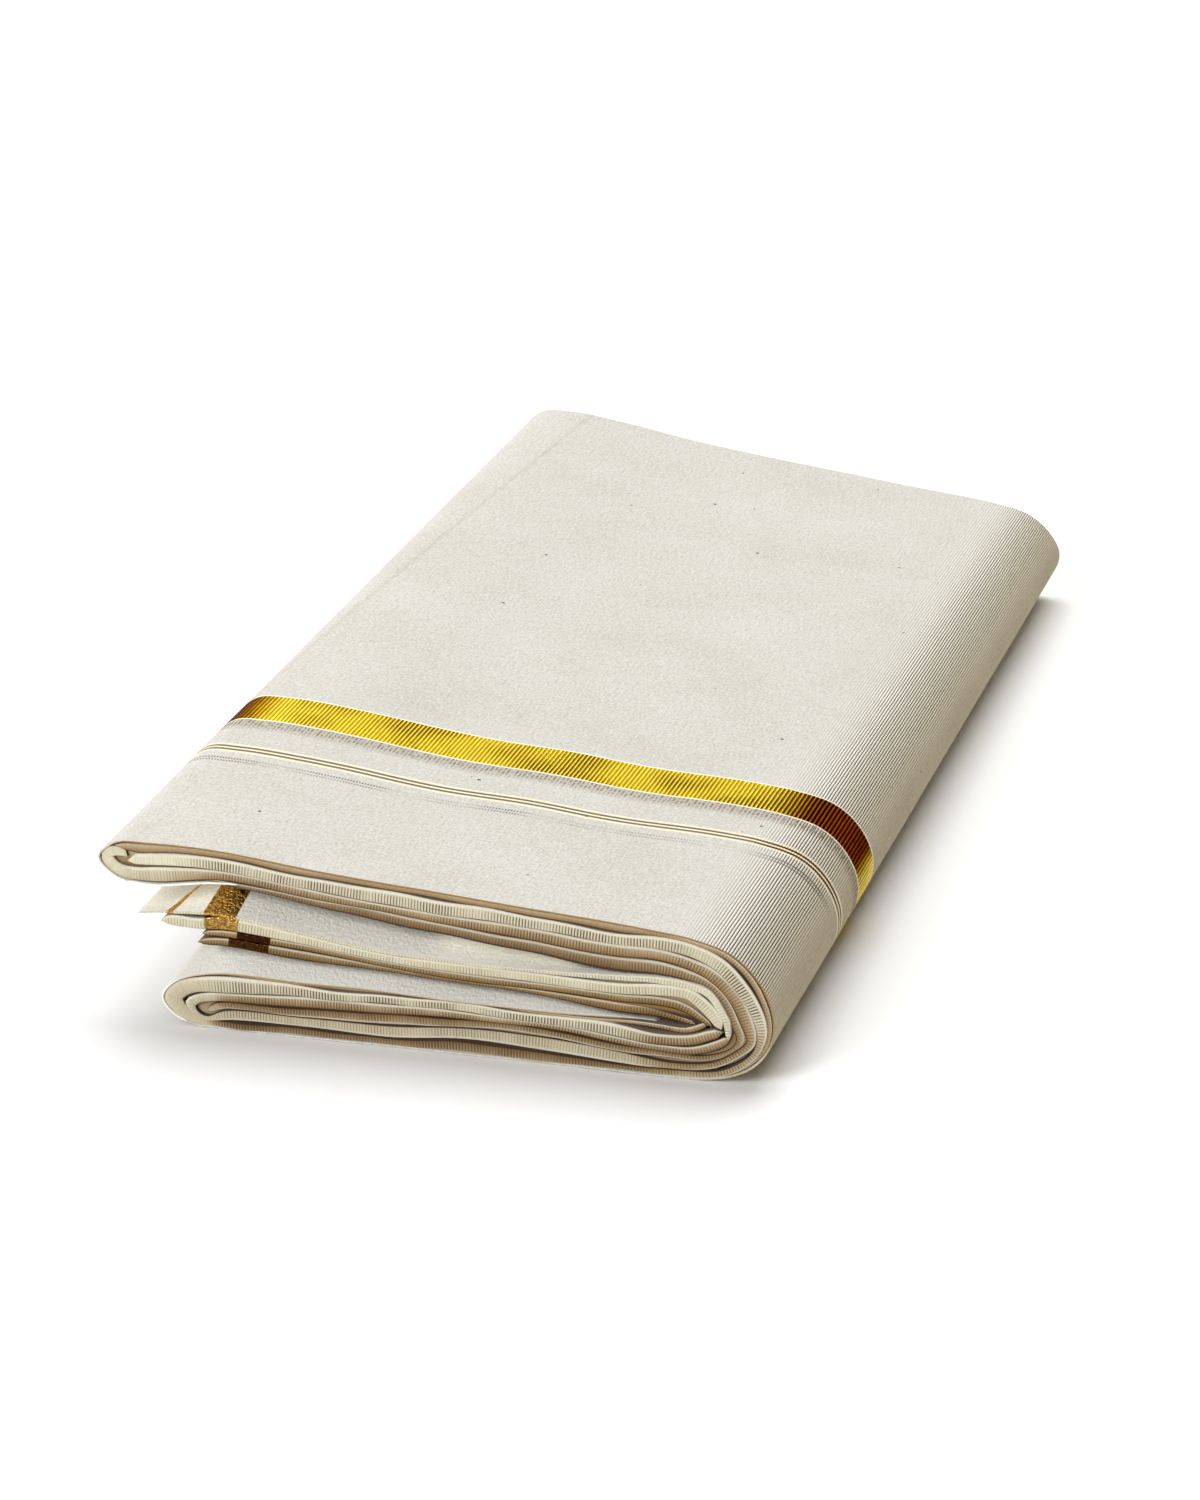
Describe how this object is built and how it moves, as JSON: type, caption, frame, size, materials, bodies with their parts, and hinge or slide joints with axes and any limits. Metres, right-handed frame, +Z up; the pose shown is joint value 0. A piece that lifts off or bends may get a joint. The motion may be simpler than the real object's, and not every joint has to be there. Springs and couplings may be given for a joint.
{
  "type": "folded dhoti cloth",
  "caption": "Flat-folded cotton dhoti with a woven gold border, a rounded turn at one side and the loose plies of its end showing between two packets at the other.",
  "frame": {"origin": "middle of the folded pile's footprint, on the surface it rests on", "axes": "+X towards the rounded turn, +Y from the layered front edge to the back, +Z up"},
  "size_m": [0.139, 0.318, 0.0395],
  "materials": {
    "cotton": "matt unbleached plain weave",
    "cotton_folds": "matt unbleached plain weave, folded edges",
    "cotton_end": "matt unbleached plain weave with gold cross bands"
  },
  "bodies": {
    "root": {"top_stretch": "cotton", "right_turn": "cotton", "underside_stretch": "cotton", "folded_core": "cotton_folds", "loose_end_first": "cotton_end", "loose_end_second": "cotton_end", "loose_end_third": "cotton_end", "loose_end_fourth": "cotton_end"}
  },
  "joints": []
}
